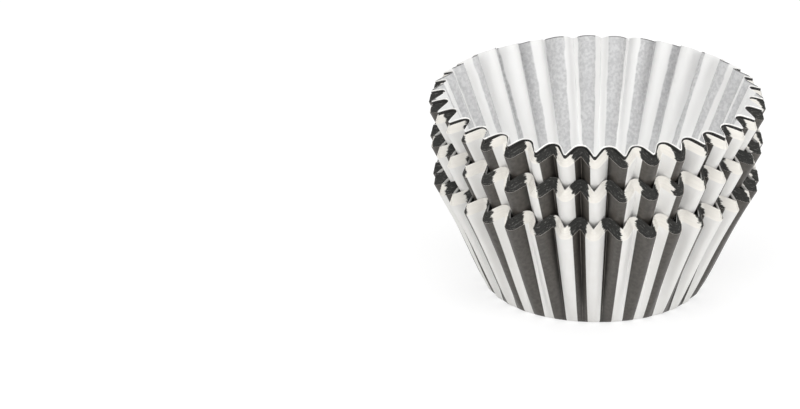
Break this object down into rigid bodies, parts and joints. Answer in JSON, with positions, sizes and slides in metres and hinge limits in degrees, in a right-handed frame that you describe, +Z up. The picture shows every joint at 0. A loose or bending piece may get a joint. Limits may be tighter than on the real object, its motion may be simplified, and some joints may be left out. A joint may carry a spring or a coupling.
{
  "type": "stack of cupcake liners",
  "caption": "Stack of pleated paper cupcake liners in bundles wedged one in another, with radial stripes and a few loosened liners on top.",
  "frame": {"origin": "centre of the lowest base, on the surface that the stack stands on", "axes": "+Z up along the stack's axis, +X through the crown of an outward pleat"},
  "size_m": [0.082, 0.082, 0.0506],
  "materials": {
    "striped_paper": "white greaseproof paper printed on its outer side with black radial stripes, cut edges showing in thin layers at the rim",
    "top_liner_paper": "white greaseproof paper seen from its plain inner side, where the stripes show through in grey"
  },
  "bodies": {
    "root": {"lower_bundle": "striped_paper", "middle_bundle": "striped_paper", "upper_bundle": "striped_paper", "loose_liners": "top_liner_paper"}
  },
  "joints": []
}
